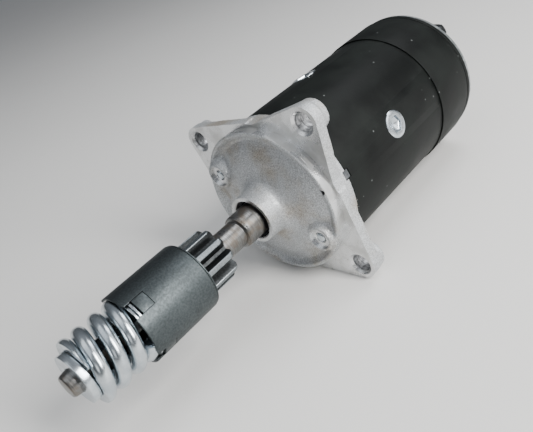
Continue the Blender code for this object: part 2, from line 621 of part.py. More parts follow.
def make_bodies():
    """One empty per moving body, each on the shaft axis, all under the fixed motor's empty."""
    bodies = {}
    parents = [("motor", None), ("armature", "motor"), ("sleeve", "armature"),
               ("carriage", "sleeve"), ("pinion", "carriage")]
    for number in range(1, 5):
        parents.append(("brush_%d" % number, "motor"))
        parents.append(("brush_spring_%d" % number, "motor"))
    for name, parent in parents:
        empty = bpy.data.objects.new("axis_" + name, None)
        empty.empty_display_size = 0.02
        PART_COLLECTION.objects.link(empty)
        if parent is None:
            empty.location = AXIS_ORIGIN
        else:
            empty.parent = bodies[parent]
        bodies[name] = empty
    return bodies


clear_scene()
MATERIALS = make_materials()
PART_COLLECTION = bpy.data.collections.new("starter_motor")
bpy.context.scene.collection.children.link(PART_COLLECTION)
BODIES = make_bodies()

make_drive_end_bracket()
make_bushes()
make_yoke()
make_field_system()
make_cover_band()
make_commutator_end_bracket()
make_terminal()
make_brush_gear()
make_armature()
make_sleeve()
make_pinion()
make_barrel()
make_control_nut()
make_springs()
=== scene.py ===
"""Looks of the inertia-drive starter motor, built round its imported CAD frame.

Pieces are drawn in the motor's own frame: station along the shaft from the flange's front
face, radius from the shaft and angle about it, in millimetres. TO_WORLD places them.
"""

import json
import math

import bmesh
import bpy
from mathutils import Matrix, Vector, noise


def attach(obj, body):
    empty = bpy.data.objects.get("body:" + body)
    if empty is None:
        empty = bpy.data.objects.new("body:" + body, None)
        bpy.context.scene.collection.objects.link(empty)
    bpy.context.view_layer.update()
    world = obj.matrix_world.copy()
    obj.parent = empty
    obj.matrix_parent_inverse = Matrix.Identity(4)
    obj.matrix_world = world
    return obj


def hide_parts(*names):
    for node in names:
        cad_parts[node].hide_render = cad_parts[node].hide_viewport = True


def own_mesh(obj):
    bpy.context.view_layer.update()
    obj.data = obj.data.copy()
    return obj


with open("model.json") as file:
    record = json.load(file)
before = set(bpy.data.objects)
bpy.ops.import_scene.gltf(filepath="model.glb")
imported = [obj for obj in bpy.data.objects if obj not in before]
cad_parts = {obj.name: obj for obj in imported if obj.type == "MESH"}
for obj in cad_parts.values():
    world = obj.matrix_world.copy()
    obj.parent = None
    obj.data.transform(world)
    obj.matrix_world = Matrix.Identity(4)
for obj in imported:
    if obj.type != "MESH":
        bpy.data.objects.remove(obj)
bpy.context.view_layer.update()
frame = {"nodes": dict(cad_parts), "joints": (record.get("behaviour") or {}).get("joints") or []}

MM = 0.001
JOINTS = {joint["name"]: joint for joint in frame["joints"]}
AXIS = Vector(JOINTS["armature_spin"]["pos_m"])
TO_WORLD = Matrix.Translation(AXIS) @ Matrix.Scale(MM, 4)

# Motor body: stations run from the flange's front face towards the commutator end
YOKE_R = 53.2
YOKE_BORE_R = 48.5
YOKE_STATIONS = (13.6, 170.9)
BODY_R = 53.8
SPIGOT_R = 52.35
REAR_FACE = 179.5
BAND_R = 54.1
BAND_STATIONS = (128.8, 166.5)
BAND_GAP_ANGLE = 325.0
POLE_ANGLES = (71.85, 161.85, 251.85, 341.85)
POLE_STATION = 74.3

# Drive end bracket: each ear has an angle and the radius that its webs spread to
NOSE_FRONT = -26.7
NOSE_BORE_R = 13.6
BRACKET_REAR = 13.3
EAR_R = 1.302 * YOKE_R
EAR_TIP_R = 0.2 * YOKE_R
EAR_HOLE_R = 6.4
EARS = ((32.95, 1.03 * YOKE_R), (125.95, 0.95 * YOKE_R), (218.75, 1.03 * YOKE_R))
VENT_ANGLE = 162.0
VENT_R = 1.8
DOWEL_ANGLE = 163.3
BOLT_R = 41.6
BOLT_ANGLES = (26.45, 206.45)
BOLT_THREAD_R = 3.1
SPOT_FACE_R = 7.4
SPOT_FACE_STATION = -9.6
TERMINAL_R = 37.2
TERMINAL_ANGLE = 125.85

# Shaft and its splines, and the pin through the collar
SHAFT_JOURNAL_R = 11.1
SHAFT_DRIVE_R = 9.0
SHAFT_FRONT = -172.6
SPLINE_COUNT = 4
SPLINE_ANGLE = 106.85
SPLINE_ROOT_R = 7.3
PIN_ANGLE = 323.85
PIN_STATION = -165.1
PIN_R = 1.7
COLLAR_R = 15.2
COLLAR_STATIONS = (-162.8, -167.4)

# Inertia drive
TEETH = 10
TOOTH_ANGLE = 167.35
TOOTH_TIP_R = 17.6
TOOTH_FLANK_R = 12.9
PINION_BORE_R = 9.3
LUG_ANGLES = (126.55, 216.55, 306.55, 36.55)
LUG_STATIONS = (-125.2, -117.5)
BARREL_R = 22.44
BARREL_BORE_R = 20.2
BARREL_MOUTH_R = 20.95
BARREL_FRONT = -130.6
SLOT_HALF = 4.95
SLEEVE_BORE_R = 9.4
SLEEVE_STATIONS = (-89.0, -127.3)
THREAD_R = 13.0
THREAD_DEPTH = 0.75
THREAD_STARTS = 4
THREAD_PITCH = 8.95

# Main spring, ground flat at both ends and leaning a little to one side
SPRING_R = 16.3
SPRING_WIRE_R = 4.25
SPRING_STATIONS = (-129.3, -162.5)
SPRING_START_ANGLE = 190.65
SPRING_LEAN = (2.0, 1.4)
LIGHT_SPRING_R = 15.2
LIGHT_SPRING_WIRE_R = 0.6
LIGHT_SPRING_STATIONS = (-116.7, -92.4)


# ---------------------------------------------------------------- geometry helpers

def polar(radius, angle, station=0.0):
    """The point at this radius, angle in degrees and station."""
    a = math.radians(angle)
    return Vector((station, radius * math.cos(a), radius * math.sin(a)))


def to_object(name, bm, materials=()):
    """Put a bmesh into the scene as an object."""
    mesh = bpy.data.meshes.new(name)
    bm.to_mesh(mesh)
    bm.free()
    for material in materials:
        mesh.materials.append(material)
    ob = bpy.data.objects.new(name, mesh)
    bpy.context.scene.collection.objects.link(ob)
    return ob


def skin(name, rows, materials=(), close=False, paint=None):
    """Quads between rows of points that all have the same count. Each row is a closed loop.

    close joins the last row to the first; otherwise the two ends are filled. paint(row, column)
    gives a face's material index.
    """
    bm = bmesh.new()
    grid = [[bm.verts.new(p) for p in row] for row in rows]
    count = len(rows)
    width = len(rows[0])
    for i in range(count if close else count - 1):
        for j in range(width):
            face = bm.faces.new((grid[i][j], grid[i][(j + 1) % width],
                                 grid[(i + 1) % count][(j + 1) % width], grid[(i + 1) % count][j]))
            if paint:
                face.material_index = paint(i, j)
    if not close:
        bm.faces.new(grid[0])
        bm.faces.new(grid[-1])
    bmesh.ops.remove_doubles(bm, verts=bm.verts, dist=1e-4)
    bmesh.ops.dissolve_degenerate(bm, dist=1e-5, edges=bm.edges)
    bmesh.ops.recalc_face_normals(bm, faces=bm.faces)
    return to_object(name, bm, materials)


def rounded(outline, default=0.35):
    """Round the corners of a closed (station, radius[, corner]) outline."""
    count = 4
    points = [Vector(p[:2]) for p in outline]
    sizes = [p[2] if len(p) > 2 else default for p in outline]
    made = []
    for i, (corner, size) in enumerate(zip(points, sizes)):
        before = points[i - 1] - corner
        after = points[(i + 1) % len(points)] - corner
        if size <= 0 or corner.y < 1e-6:
            made.append(corner)
            continue
        reach = min(size, before.length * 0.45, after.length * 0.45)
        a = corner + before.normalized() * reach
        b = corner + after.normalized() * reach
        for k in range(count + 1):
            t = k / count
            made.append(a * (1 - t) ** 2 + corner * 2 * t * (1 - t) + b * t ** 2)
    return [(p.x, p.y) for p in made]


def lathe(name, outline, materials=(), steps=160, paint=None):
    """Revolve a closed (station, radius) outline about the shaft."""
    rows = [[polar(radius, 360.0 * k / steps, station) for k in range(steps)]
            for station, radius in outline]
    return skin(name, rows, materials, close=True, paint=paint)


def shaped(name, sections, materials=(), steps=180, close=False, paint=None, at=(0.0, 0.0)):
    """Rows of (station, radius function of angle in degrees), about an axis parallel to the shaft."""
    centre = polar(*at)
    rows = []
    for station, radius in sections:
        reach = radius if callable(radius) else (lambda angle, fixed=radius: fixed)
        rows.append([centre + polar(reach(360.0 * k / steps), at[1] + 360.0 * k / steps, station)
                     for k in range(steps)])
    return skin(name, rows, materials, close=close, paint=paint)


def turn_to(direction):
    """The rotation that points +X along a direction."""
    return Vector(direction).normalized().to_track_quat("X", "Z").to_matrix().to_4x4()


def radial(ob, angle, station, radius, spin=0.0):
    """Stand a piece drawn along +X on the yoke, so that its +X points outwards."""
    out = polar(1.0, angle)
    across = Vector((1, 0, 0)).cross(out)
    matrix = Matrix((out, across, out.cross(across))).transposed().to_4x4()
    ob.data.transform(Matrix.Translation(polar(radius, angle, station)) @ matrix
                      @ Matrix.Rotation(math.radians(spin), 4, "X"))
    return ob


def box(name, stations, radii, widths, angle=0.0, materials=()):
    """A block from low to high station, radius and width across, turned about the shaft."""
    bm = bmesh.new()
    bmesh.ops.create_cube(bm, size=1.0)
    low_high = (stations, radii, widths)
    for vert in bm.verts:
        vert.co = Vector(lo + (hi - lo) * (c + 0.5) for c, (lo, hi) in zip(vert.co, low_high))
    bmesh.ops.rotate(bm, cent=(0, 0, 0), matrix=Matrix.Rotation(math.radians(angle), 3, "X"),
                     verts=bm.verts)
    bmesh.ops.recalc_face_normals(bm, faces=bm.faces)
    return to_object(name, bm, materials)


def plate(name, loop, station0, station1, materials=()):
    """A flat plate with a (y, z) outline between two stations."""
    rows = [[Vector((station, y, z)) for y, z in loop] for station in (station0, station1)]
    return skin(name, rows, materials)


def rod(name, radius, start, end, materials=(), steps=48, end_radius=None):
    """A round bar or cone between two points."""
    start, end = Vector(start), Vector(end)
    last = radius if end_radius is None else end_radius
    ob = shaped(name, [(0.0, radius), ((end - start).length, last)], materials, steps)
    ob.data.transform(Matrix.Translation(start) @ turn_to(end - start))
    return ob


def apply(ob):
    """Turn the object's modifiers into its mesh."""
    bpy.context.view_layer.update()
    graph = bpy.context.evaluated_depsgraph_get()
    mesh = bpy.data.meshes.new_from_object(ob.evaluated_get(graph))
    old = ob.data
    ob.modifiers.clear()
    ob.data = mesh
    bpy.data.meshes.remove(old)
    return ob


def combine(base, tools, operation):
    """Apply one boolean per tool, and use the tools up."""
    for tool in tools:
        mod = base.modifiers.new(operation, "BOOLEAN")
        mod.solver = "EXACT"
        mod.operation = operation
        mod.material_mode = "TRANSFER"
        mod.object = tool
        apply(base)
        bpy.data.objects.remove(tool, do_unlink=True)
    return base


def cut(base, *tools):
    return combine(base, tools, "DIFFERENCE")


def join(base, *tools):
    return combine(base, tools, "UNION")


def gather(*tools):
    """Put tools that don't touch each other into one mesh, so that one cut makes them all."""
    slots = []
    for tool in tools:
        slots += [material for material in tool.data.materials if material not in slots]
    bm = bmesh.new()
    for tool in tools:
        start = len(bm.faces)
        bm.from_mesh(tool.data)
        bm.faces.ensure_lookup_table()
        for face in bm.faces[start:]:
            face.material_index = slots.index(tool.data.materials[face.material_index])
        bpy.data.objects.remove(tool, do_unlink=True)
    return to_object("tools", bm, slots)


def bevel(ob, width=0.25, angle=35.0):
    """Round the edges that are sharper than angle."""
    mod = ob.modifiers.new("bevel", "BEVEL")
    mod.width = width
    mod.segments = 2
    mod.limit_method = "ANGLE"
    mod.angle_limit = math.radians(angle)
    mod.miter_outer = "MITER_ARC"
    return apply(ob)


def thread(first, spacing, count, pitch, top, depth, starts=1):
    """Sections for shaped() that cut a triangular screw thread, count of them from station first."""
    def section(station):
        return lambda a: top - depth * abs(((station / pitch - a * starts / 360.0) % 1.0) * 2 - 1)
    return [(first + spacing * k, section(first + spacing * k)) for k in range(count)]


def piece(ob, body, slot, nodes, sharp=32.0):
    """Finish a piece: place it in the world, smooth it and say what it rides on and stands for."""
    ob.data.transform(TO_WORLD)
    ob.data.shade_smooth()
    ob.data.set_sharp_from_angle(angle=math.radians(sharp))
    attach(ob, body)
    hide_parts(*nodes)
    return ob


# ---------------------------------------------------------------- materials

class Shader:
    """A node material built up with a few short calls."""

    def __init__(self, name, metallic=0.0):
        self.material = bpy.data.materials.new(name)
        self.material.use_nodes = True
        self.tree = self.material.node_tree
        self.main = self.tree.nodes["Principled BSDF"]
        self.main.inputs["Metallic"].default_value = metallic
        self.where = self.tree.nodes.new("ShaderNodeTexCoord").outputs["Object"]

    def feed(self, socket, value):
        """Link another node's output to the socket, or set the socket's own value."""
        if isinstance(value, bpy.types.NodeSocket):
            self.tree.links.new(value, socket)
        else:
            socket.default_value = (*value, 1.0) if isinstance(value, tuple) else value

    def math(self, operation, a, b=0.0):
        node = self.tree.nodes.new("ShaderNodeMath")
        node.operation = operation
        self.feed(node.inputs[0], a)
        self.feed(node.inputs[1], b)
        return node.outputs[0]

    def scaled(self, value, factor):
        return self.math("MULTIPLY", value, factor)

    def from_shaft(self):
        """Object coordinates x, y and z measured from the shaft's axis, in metres."""
        node = self.tree.nodes.new("ShaderNodeMapping")
        self.tree.links.new(self.where, node.inputs["Vector"])
        node.inputs["Location"].default_value = tuple(-a for a in AXIS)
        split = self.tree.nodes.new("ShaderNodeSeparateXYZ")
        self.tree.links.new(node.outputs[0], split.inputs[0])
        return tuple(split.outputs)

    def around(self):
        """Cylindrical coordinates: station and radius in metres, and angle round the shaft in radians."""
        x, y, z = self.from_shaft()
        square = self.math("ADD", self.scaled(y, y), self.scaled(z, z))
        return x, self.math("SQRT", square), self.math("ARCTAN2", z, y)

    def turned(self, amount):
        """Stretch highlights across turning marks that run round the shaft."""
        _, y, z = self.from_shaft()
        self.tree.links.new(self.vector(0.0, self.scaled(z, -1.0), y), self.main.inputs["Tangent"])
        self.main.inputs["Anisotropic"].default_value = amount

    def vector(self, x, y, z=0.0):
        node = self.tree.nodes.new("ShaderNodeCombineXYZ")
        for socket, value in zip(node.inputs, (x, y, z)):
            self.feed(socket, value)
        return node.outputs[0]

    def noise(self, scale, vector=None, detail=3.0, rough=0.55):
        node = self.tree.nodes.new("ShaderNodeTexNoise")
        self.tree.links.new(vector or self.where, node.inputs["Vector"])
        node.inputs["Scale"].default_value = scale
        node.inputs["Detail"].default_value = detail
        node.inputs["Roughness"].default_value = rough
        return node.outputs["Fac"]

    def cells(self, scale):
        """Distance from scattered points, for pits and dust."""
        node = self.tree.nodes.new("ShaderNodeTexVoronoi")
        self.tree.links.new(self.where, node.inputs["Vector"])
        node.inputs["Scale"].default_value = scale
        return node.outputs["Distance"]

    def step(self, value, low, high, to_low=0.0, to_high=1.0):
        """Ease from to_low to to_high while value goes from low to high."""
        node = self.tree.nodes.new("ShaderNodeMapRange")
        node.interpolation_type = "SMOOTHSTEP"
        self.tree.links.new(value, node.inputs["Value"])
        for key, number in zip(("From Min", "From Max", "To Min", "To Max"), (low, high, to_low, to_high)):
            node.inputs[key].default_value = number
        return node.outputs["Result"]

    def mix(self, factor, a, b):
        node = self.tree.nodes.new("ShaderNodeMix")
        node.data_type = "RGBA"
        # Inputs 6 and 7 and output 2 are the node's colour sockets
        for index, value in ((0, factor), (6, a), (7, b)):
            self.feed(node.inputs[index], value)
        return node.outputs[2]

    def colour(self, value):
        self.tree.links.new(value, self.main.inputs["Base Color"])

    def rough(self, value):
        self.tree.links.new(value, self.main.inputs["Roughness"])

    def bump(self, height, distance, strength=1.0, under=None):
        node = self.tree.nodes.new("ShaderNodeBump")
        node.inputs["Strength"].default_value = strength
        node.inputs["Distance"].default_value = distance
        self.tree.links.new(height, node.inputs["Height"])
        if under:
            self.tree.links.new(under, node.inputs["Normal"])
        self.tree.links.new(node.outputs["Normal"], self.main.inputs["Normal"])
        return node.outputs["Normal"]


def cast_aluminium():
    """Sand-cast skin: a fine sparkling grain with a few pits and broad patches of faint tan tint."""
    s = Shader("cast_aluminium", metallic=0.72)
    broad = s.noise(34, detail=4)
    grain = s.noise(1400, detail=3, rough=0.65)
    pits = s.step(s.cells(420), 0.05, 0.18)
    grey_tone = s.mix(s.step(grain, 0.30, 0.70), (0.34, 0.35, 0.36), (0.68, 0.70, 0.715))
    tan_tone = s.mix(s.step(grain, 0.30, 0.70), (0.26, 0.235, 0.205), (0.55, 0.505, 0.44))
    s.colour(s.mix(s.step(broad, 0.46, 0.70), grey_tone, tan_tone))
    s.rough(s.step(grain, 0.3, 0.7, 0.66, 0.42))
    under = s.bump(grain, 0.00022, 0.8)
    s.bump(pits, 0.00015, 0.5, under)
    return s.material


def drilled():
    """The wall of a drilled hole: ring marks over dull metal."""
    s = Shader("drilled_bore", metallic=0.85)
    station, _, _ = s.around()
    rings = s.noise(1.0, s.vector(s.scaled(station, 900), 0.0), detail=2)
    mottle = s.noise(420, detail=4, rough=0.6)
    tone = s.math("ADD", s.scaled(rings, 0.5), s.scaled(mottle, 0.5))
    s.colour(s.mix(s.step(tone, 0.36, 0.62), (0.17, 0.17, 0.175), (0.58, 0.59, 0.60)))
    s.rough(s.step(mottle, 0.3, 0.7, 0.6, 0.36))
    s.bump(tone, 0.00025, 0.8)
    return s.material


def machined_aluminium():
    """Turned metal: fine rings round the shaft under a cloudy film."""
    s = Shader("machined_aluminium", metallic=1.0)
    s.turned(0.7)
    station, radius, _ = s.around()
    lines = s.noise(1.0, s.vector(s.scaled(station, 2600), s.scaled(radius, 2600)), rough=0.7)
    smear = s.noise(70, detail=3)
    s.colour(s.mix(s.step(smear, 0.35, 0.7), (0.74, 0.75, 0.76), (0.58, 0.58, 0.57)))
    s.rough(s.step(smear, 0.3, 0.75, 0.20, 0.36))
    s.bump(lines, 0.00009, 0.8)
    return s.material


def black_paint():
    """Satin black enamel with a faint orange peel, a cloudy film and specks of dust."""
    s = Shader("black_paint", metallic=0.0)
    s.main.inputs["Specular IOR Level"].default_value = 0.12
    peel = s.noise(260, detail=2)
    fine = s.noise(1400, detail=2)
    film = s.noise(26, detail=5, rough=0.6)
    specks = s.step(s.cells(150), 0.05, 0.11, 1.0, 0.0)
    dust = s.math("MULTIPLY", specks, s.step(s.noise(60), 0.52, 0.62))
    body = s.mix(s.step(film, 0.35, 0.72), (0.0035, 0.0042, 0.004), (0.010, 0.012, 0.011))
    s.colour(s.mix(s.scaled(dust, 0.45), body, (0.30, 0.32, 0.32)))
    s.rough(s.step(film, 0.3, 0.75, 0.42, 0.58))
    under = s.bump(peel, 0.00006, 0.5)
    s.bump(fine, 0.00001, 0.5, under)
    return s.material


def worn_rim():
    """The end bracket's edge, where the paint has gone."""
    s = Shader("worn_rim", metallic=0.7)
    chips = s.noise(210, detail=4, rough=0.6)
    s.colour(s.mix(s.step(chips, 0.44, 0.62), (0.20, 0.215, 0.22), (0.42, 0.45, 0.46)))
    s.rough(s.step(chips, 0.3, 0.7, 0.55, 0.34))
    s.bump(chips, 0.00008, 0.5)
    return s.material


def gunmetal(name, dark, light, low, high):
    """Phosphated steel: mottled, with faint lines round the shaft."""
    s = Shader(name, metallic=1.0)
    blot = s.noise(60, detail=3, rough=0.5)
    speck = s.noise(900, detail=3)
    station, radius, _ = s.around()
    lines = s.noise(1.0, s.vector(s.scaled(station, 1900), s.scaled(radius, 900)))
    tone = s.math("ADD", s.scaled(blot, 0.35), s.scaled(speck, 0.65))
    s.colour(s.mix(s.step(tone, 0.32, 0.72), dark, light))
    s.rough(s.step(tone, 0.3, 0.75, high, low))
    under = s.bump(lines, 0.000012, 0.5)
    s.bump(speck, 0.00003, 0.4, under)
    return s.material


def ground_steel():
    """Ground shaft steel: very fine rings, with brown stains."""
    s = Shader("ground_steel", metallic=1.0)
    station, _, angle = s.around()
    lines = s.noise(1.0, s.vector(s.scaled(station, 3800), s.scaled(angle, 0.6)), detail=4)
    stain = s.noise(150, detail=5, rough=0.65)
    base = s.mix(s.step(lines, 0.35, 0.65), (0.13, 0.13, 0.127), (0.27, 0.27, 0.265))
    s.colour(s.mix(s.scaled(s.step(stain, 0.44, 0.64), 0.75), base, (0.17, 0.14, 0.11)))
    s.rough(s.step(stain, 0.3, 0.7, 0.26, 0.42))
    s.bump(lines, 0.000015, 0.6)
    return s.material


def zinc():
    """Bright zinc plating, slightly cloudy."""
    s = Shader("zinc_steel", metallic=1.0)
    cloud = s.noise(120, detail=4, rough=0.6)
    speck = s.noise(900, detail=2)
    s.colour(s.mix(s.step(cloud, 0.35, 0.68), (0.48, 0.53, 0.57), (0.66, 0.71, 0.74)))
    s.rough(s.step(cloud, 0.3, 0.7, 0.27, 0.21))
    s.bump(speck, 0.000004, 0.5)
    return s.material


def plain(name, dark, light, metallic, low, high, scale=220.0):
    """A simple mottled surface for parts that are hidden or small."""
    s = Shader(name, metallic=metallic)
    mottle = s.noise(scale, detail=4, rough=0.6)
    s.colour(s.mix(s.step(mottle, 0.35, 0.68), dark, light))
    s.rough(s.step(mottle, 0.3, 0.7, high, low))
    s.bump(mottle, 0.00004, 0.6)
    return s.material


def taped():
    """Varnished cotton tape wound round the field coils."""
    s = Shader("coil_tape")
    station, _, angle = s.around()
    wave = s.math("SINE", s.math("ADD", s.scaled(station, 900), s.scaled(angle, 22)))
    weave = s.noise(1500, detail=2)
    cotton = s.mix(weave, (0.36, 0.27, 0.15), (0.52, 0.42, 0.26))
    s.colour(s.mix(s.step(wave, -0.95, -0.5), (0.16, 0.11, 0.06), cotton))
    s.rough(s.step(weave, 0.3, 0.7, 0.85, 0.6))
    s.bump(wave, 0.00012, 0.5)
    return s.material


CAST = cast_aluminium()
MACHINED = machined_aluminium()
PAINT = black_paint()
RIM = worn_rim()
BARREL = gunmetal("barrel_steel", (0.056, 0.065, 0.068), (0.095, 0.11, 0.115), 0.42, 0.52)
# Dark steel for the terminal's lock nut and the drive end bush; in the shaft's grooves and pin hole, the
# barrel's slot walls and the pinion's roots and flanks the same dark is painted shade.
DARK_AND_SHADED = gunmetal("dark_and_shaded_steel", (0.022, 0.024, 0.025), (0.06, 0.064, 0.066), 0.34, 0.5)
# Lighter steel: the screwed sleeve's own colour, and on the pinion's tooth tops a painted highlight.
LAND = gunmetal("land_steel", (0.17, 0.19, 0.20), (0.29, 0.32, 0.34), 0.28, 0.38)
EDGE = gunmetal("edge_steel", (0.34, 0.37, 0.39), (0.52, 0.56, 0.58), 0.24, 0.34)
DRILLED = drilled()
GROUND = ground_steel()
ZINC = zinc()
BRONZE = plain("bronze", (0.26, 0.16, 0.07), (0.50, 0.34, 0.17), 1.0, 0.30, 0.5)
COPPER = plain("copper", (0.42, 0.19, 0.10), (0.78, 0.40, 0.24), 1.0, 0.22, 0.42)
CARBON = plain("carbon", (0.03, 0.03, 0.03), (0.08, 0.075, 0.07), 0.3, 0.5, 0.72, 700)
PHENOLIC = plain("insulation", (0.045, 0.02, 0.012), (0.13, 0.065, 0.04), 0.0, 0.35, 0.6)
LAMINATE = plain("dark_steel", (0.07, 0.075, 0.08), (0.18, 0.19, 0.20), 1.0, 0.34, 0.52)
TAPE = taped()


# ---------------------------------------------------------------- drive end bracket

def ear_loop(web_r, angle):
    """One ear's outline: two straight webs from a round tip to the body."""
    lean = math.degrees(math.acos((web_r - EAR_TIP_R) / EAR_R))
    points = [tuple(polar(44.0, a))[1:] for a in (lean - 4, lean - 20, 0.0, 20 - lean, 4 - lean)]
    points.append(tuple(polar(web_r, -lean))[1:])
    for k in range(25):
        p = polar(EAR_TIP_R, -lean + 2 * lean * k / 24)
        points.append((p.y + EAR_R, p.z))
    points.append(tuple(polar(web_r, lean))[1:])
    c, s = math.cos(math.radians(angle)), math.sin(math.radians(angle))
    return [(y * c - z * s, y * s + z * c) for y, z in points]


def bracket_casting():
    """The dome, ears and bolt pads in one skin, softened and given a sandy surface."""
    cast = lathe("drive_end_bracket", [
        (NOSE_FRONT - 1.5, 8.0), (NOSE_FRONT - 1.5, 16.5), (-16.6, 17.3), (-14.2, 18.0), (-12.4, 19.6),
        (-11.2, 22.0), (-10.2, 26.0), (-9.4, 31.0), (-8.3, 36.0), (-7.1, 40.0), (-5.6, 43.4), (-4.7, 45.4),
        (-4.8, 46.5), (-5.9, 48.1), (-7.7, 49.7), (-8.3, 50.8), (-8.1, 51.9), (-6.6, 53.3), (-1.0, 53.6),
        (-1.0, BODY_R), (BRACKET_REAR, BODY_R), (BRACKET_REAR, 8.0)], steps=128)
    for angle, web_r in EARS:
        ends = (polar(EAR_R, angle, -1.4), polar(EAR_R, angle, BRACKET_REAR))
        join(cast, plate("web", ear_loop(web_r, angle), -1.5, 8.0),
             rod("boss", EAR_TIP_R + 0.15, *ends, end_radius=9.9))
    for angle in BOLT_ANGLES:
        ends = (polar(BOLT_R, angle, -11.6), polar(BOLT_R, angle, -5.0))
        join(cast, rod("pad", 8.7, *ends, steps=40, end_radius=11.9))
    remesh = cast.modifiers.new("remesh", "REMESH")
    remesh.mode = "VOXEL"
    remesh.voxel_size = 0.6
    soften = cast.modifiers.new("soften", "SMOOTH")
    soften.factor = 0.5
    soften.iterations = 3
    apply(cast)
    # Reading every normal before any move keeps Blender from working them out again each time
    normals = [vert.normal.copy() for vert in cast.data.vertices]
    for vert, normal in zip(cast.data.vertices, normals):
        p = vert.co.copy()
        sand = 0.2 if p.x > -13.0 and p.yz.length < SPIGOT_R else 0.07
        lift = noise.noise(p * 0.16) * 0.14 + noise.noise(p * 0.85) * sand
        vert.co = p + normal * lift
    cast.data.materials.clear()
    cast.data.materials.append(CAST)
    for face in cast.data.polygons:
        face.material_index = 0
    return cast


def make_bracket():
    """The casting, machined where the real one is."""
    cast = bracket_casting()
    flange = lathe("facing", [(-40.0, SPIGOT_R), (0.0, SPIGOT_R), (0.0, 95.0), (-40.0, 95.0)],
                   (MACHINED,), 200)
    nose = rod("facing", 40.0, (-60, 0, 0), (NOSE_FRONT, 0, 0), (MACHINED,))
    bore = lathe("bore", [(-40.0, 0.0), (-40.0, 15.4), (NOSE_FRONT, 14.3), (NOSE_FRONT + 0.7, NOSE_BORE_R),
                          (20.0, NOSE_BORE_R), (20.0, 0.0)], (MACHINED,), 120)
    inside = lathe("inside", [(2.0, 0.0), (2.0, 44.0), (20.0, 44.0), (20.0, 0.0)], (CAST,), 120)
    holes = [bore]
    for angle, _ in EARS:
        steps = [(-5.0, 13.0), (0.0, EAR_HOLE_R + 1.6), (1.6, EAR_HOLE_R), (12.3, EAR_HOLE_R),
                 (13.4, EAR_HOLE_R + 0.8), (20.0, EAR_HOLE_R + 0.8)]
        holes.append(shaped("hole", steps, (MACHINED, DRILLED), 64, at=(EAR_R, angle),
                            paint=lambda i, j: 0 if i < 2 else 1))
    tappings = []
    for angle in BOLT_ANGLES:
        at = (BOLT_R, angle)
        holes.append(shaped("spot face", [(-20.0, SPOT_FACE_R), (SPOT_FACE_STATION, SPOT_FACE_R)],
                            (MACHINED,), 64, at=at))
        steps = [(-12.0, 4.0), (SPOT_FACE_STATION, 4.0), (SPOT_FACE_STATION + 0.5, 3.5), (16.0, 3.5)]
        tappings.append(shaped("tapping", steps, (MACHINED,), 40, at=at))
    vent_ends = (polar(53.3, VENT_ANGLE, -16.0), polar(43.9, VENT_ANGLE, 11.0))
    holes.append(rod("vent", VENT_R, *vent_ends, (DRILLED,), 32))
    holes.append(box("key seat", (10.6, 16.0), (50.0, 58.0), (-3.0, 3.0), DOWEL_ANGLE, (MACHINED,)))
    cut(cast, gather(flange, nose), gather(*holes), gather(*tappings), inside)
    piece(cast, "motor", "cast_aluminium", ("drive_end_bracket",), 28.0)


make_bracket()


# ---------------------------------------------------------------- yoke and its fittings

def make_yoke():
    """The tube, sunk for the pole screws and opened under the band for the brushes."""
    front, rear = YOKE_STATIONS
    tube = lathe("yoke", rounded([(front, YOKE_BORE_R), (front, YOKE_R, 0.5),
                                  (rear, YOKE_R, 0.5), (rear, YOKE_BORE_R)]), (PAINT,), 256)
    tools = [box("notch", (10.0, 16.7), (46.0, 58.0), (-3.05, 3.05), DOWEL_ANGLE, (PAINT,))]
    for angle in POLE_ANGLES:
        sink = shaped("sink", [(-12.0, 5.4), (-3.6, 5.4), (-3.6, 6.2), (0.9, 10.6), (2.0, 10.6)],
                      (PAINT,), 96)
        tools.append(radial(sink, angle, POLE_STATION, YOKE_R))
        tools.append(box("window", (134.0, 159.0), (40.0, 60.0), (-14.0, 14.0), angle, (PAINT,)))
    piece(bevel(cut(tube, *tools), 0.3, 30.0), "motor", "black_paint", ("yoke",))


def make_pole_screw(number, angle):
    """A countersunk screw with a hexagon socket, its edge rounded and its socket slightly bruised."""
    def hexagon(reach):
        return lambda a: reach * math.cos(math.radians(30)) / math.cos(math.radians((a + 11) % 60 - 30))
    screw = shaped("pole_screw_%d" % number, [
        (-3.2, 5.8), (-0.6, 9.15), (-0.25, 9.4), (0.0, 9.4), (0.35, 9.1), (0.5, 8.5), (0.55, 6.9),
        (0.45, hexagon(6.1)), (-0.1, hexagon(5.75)), (-1.5, hexagon(5.6)), (-1.7, hexagon(5.2)),
        (-2.0, 3.2), (-2.5, 1.4), (-2.7, 0.3)], (ZINC,), 96)
    radial(screw, angle, POLE_STATION, YOKE_R - 0.42, 17.0 * number)
    piece(screw, "motor", "zinc_steel", ("pole_screw_%d" % number,), 30.0)


make_yoke()
for index, pole_angle in enumerate(POLE_ANGLES, 1):
    make_pole_screw(index, pole_angle)


